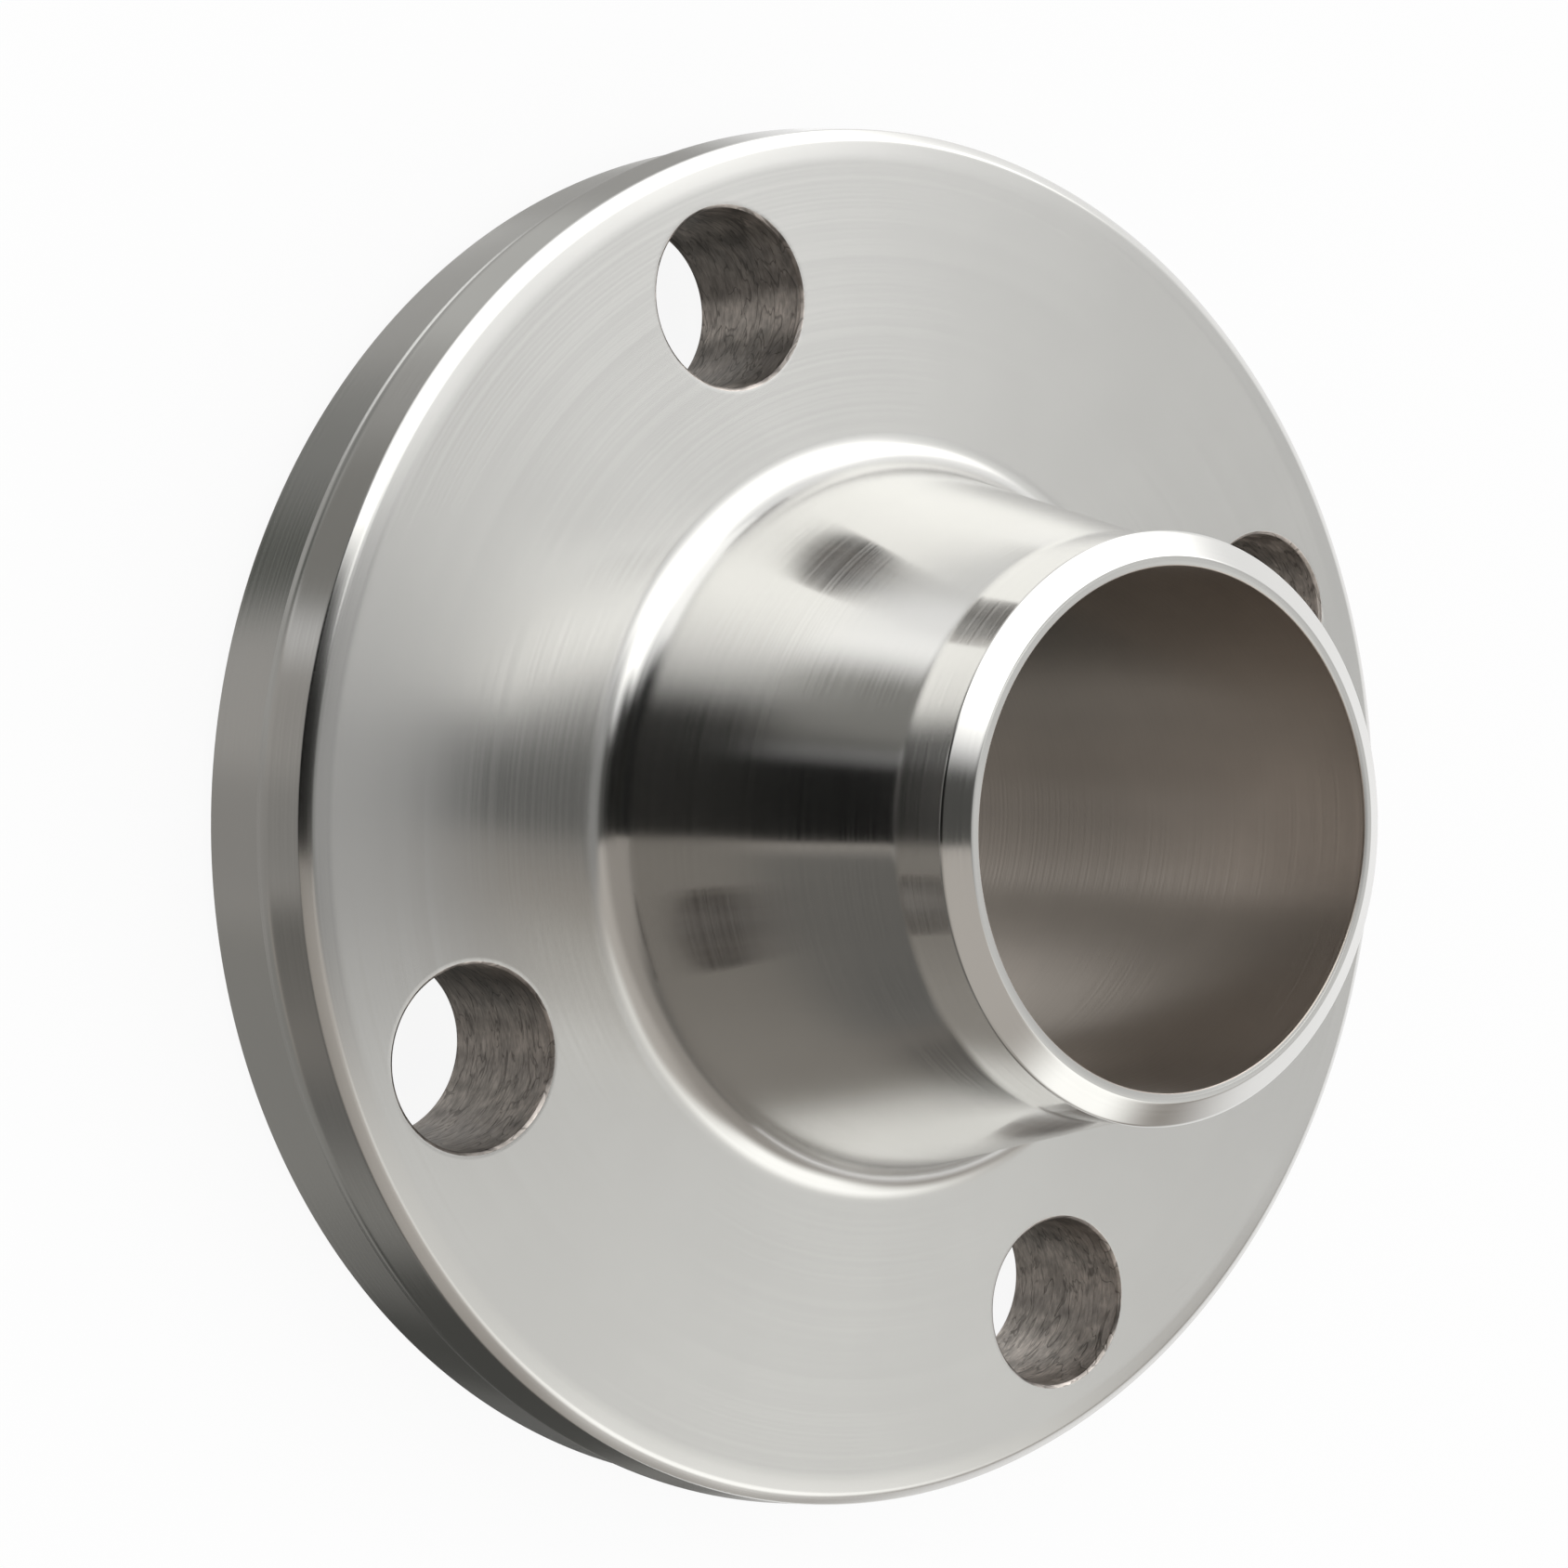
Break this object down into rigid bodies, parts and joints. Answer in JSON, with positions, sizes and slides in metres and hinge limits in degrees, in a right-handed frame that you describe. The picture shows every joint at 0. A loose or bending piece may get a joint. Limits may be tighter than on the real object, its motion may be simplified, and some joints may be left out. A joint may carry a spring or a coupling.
{
  "type": "weld neck pipe flange",
  "caption": "Weld neck pipe flange: a drilled disc with a raised sealing face, a tapered hub and a bevelled weld end.",
  "frame": {"origin": "on the bore's axis, in the plane of the raised sealing face that the flange lies on", "axes": "+Z along the bore, towards the weld end; the bolt holes straddle X and Y, the first at 45 degrees from +X"},
  "size_m": [0.1524, 0.1524, 0.065],
  "materials": {
    "turned_stainless": "fine turned stainless steel, bright, with drilled holes left duller"
  },
  "bodies": {
    "root": {"weld_neck_flange": "turned_stainless"}
  },
  "joints": []
}
